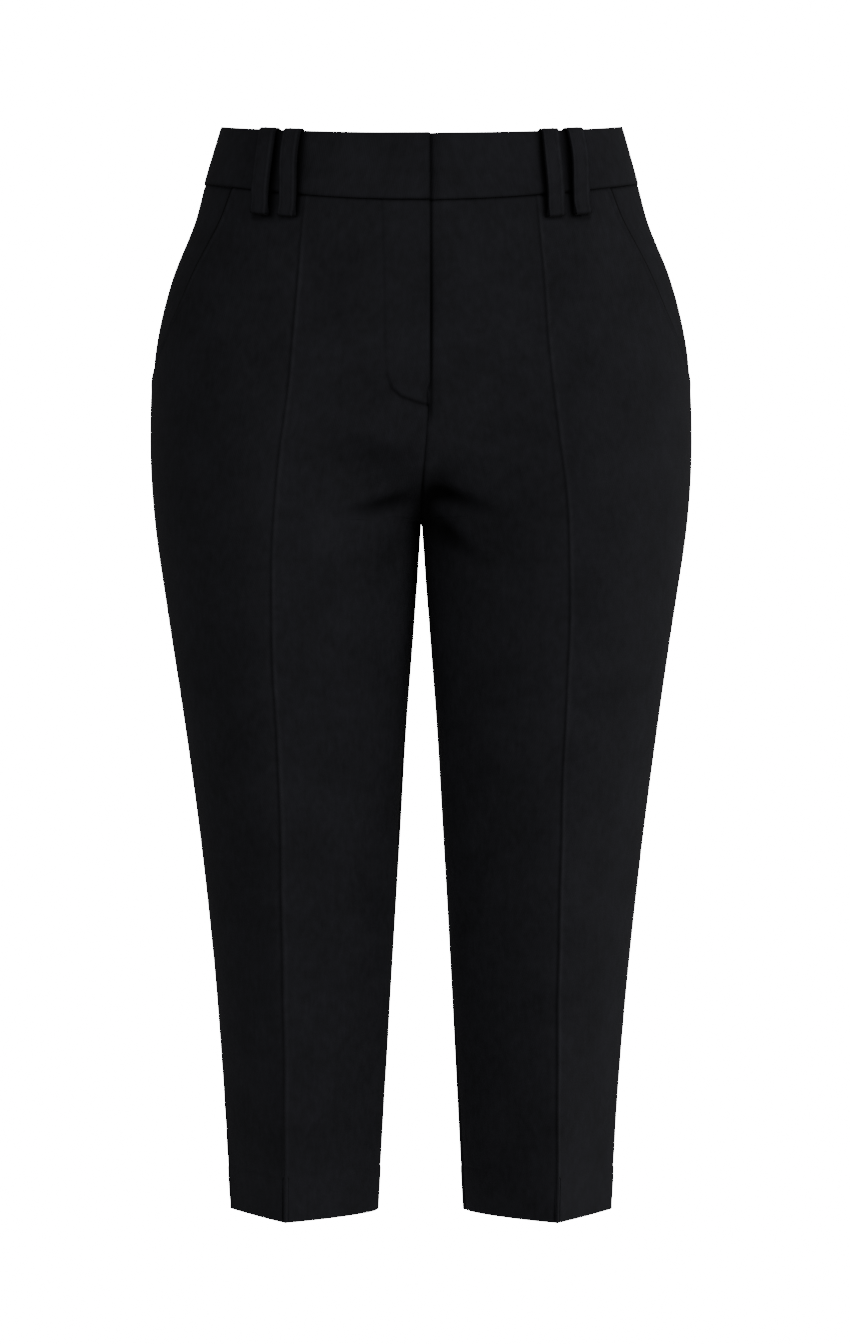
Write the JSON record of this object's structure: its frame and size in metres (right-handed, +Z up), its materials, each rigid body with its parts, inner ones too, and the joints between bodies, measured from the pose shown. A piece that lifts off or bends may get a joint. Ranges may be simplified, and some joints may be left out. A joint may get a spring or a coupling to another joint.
{
  "type": "capri pants",
  "caption": "Slim tailored capri pants in worn, hollow form, with pressed creases, a fly front, slant hip pockets and paired belt loops.",
  "frame": {"origin": "centre of the waist opening at the middle of the waistband's height at the side seams", "axes": "+Z up the garment, -Y out of its front, +X towards the wearer's left"},
  "size_m": [0.378, 0.2521, 0.7648],
  "materials": {
    "panel": "matte black suiting, fine twill",
    "band": "matte black suiting, interfaced",
    "facing": "matte black suiting",
    "loop": "matte black suiting, folded strap"
  },
  "bodies": {
    "root": {"front_right": "panel", "front_left": "panel", "back_right": "panel", "back_left": "panel", "waistband_right": "band", "waistband_left": "band", "pocket_facing_right": "facing", "pocket_facing_left": "facing", "belt_loop_front_right_outer": "loop", "belt_loop_front_right_inner": "loop", "belt_loop_front_left_inner": "loop", "belt_loop_front_left_outer": "loop", "belt_loop_back_right": "loop", "belt_loop_back_left": "loop"}
  },
  "joints": []
}
